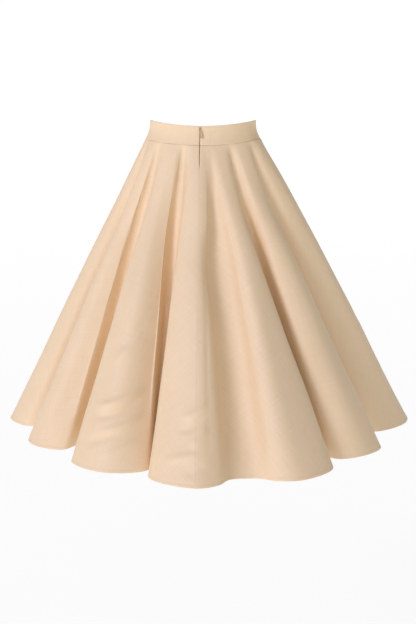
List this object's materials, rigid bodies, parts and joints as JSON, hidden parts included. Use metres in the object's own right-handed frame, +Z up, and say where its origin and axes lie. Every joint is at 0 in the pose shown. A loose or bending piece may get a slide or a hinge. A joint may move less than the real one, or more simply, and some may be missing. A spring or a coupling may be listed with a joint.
{
  "type": "circle skirt",
  "caption": "Full circle skirt of tea length, filled out with soft deep folds, on a contoured waistband with an invisible zip and a swinging pull tab at the centre back.",
  "frame": {"origin": "centre of the waist opening, level with the waistband's top edge at the side seams", "axes": "+Z up, out of the waist opening; -Y towards the centre back, where the zip is; +X towards the wearer's right side"},
  "size_m": [0.9487, 0.9382, 0.6998],
  "materials": {
    "cloth": "sand beige cotton sateen with a soft matte sheen",
    "zip_tape": "woven zip tape dyed to match",
    "zip_coil": "dyed nylon coil",
    "zip_metal": "enamelled to match the cloth"
  },
  "bodies": {
    "skirt": {"front_panel": "cloth", "back_panel_left": "cloth", "back_panel_right": "cloth", "waistband_front": "cloth", "waistband_back_left": "cloth", "waistband_back_right": "cloth", "zip_tape_left": "zip_tape", "zip_tape_right": "zip_tape", "zip_coil": "zip_coil", "zip_slider": "zip_metal"},
    "pull_tab": {"pull_tab": "zip_metal"}
  },
  "joints": [
    {"name": "pull_tab_swing", "type": "hinge", "parent": "skirt", "child": "pull_tab", "pos_m": [-0.00637, -0.08718, -0.01797], "axis": [-0.9993, 0.0371, 0], "range_deg": [0, 150]}
  ]
}
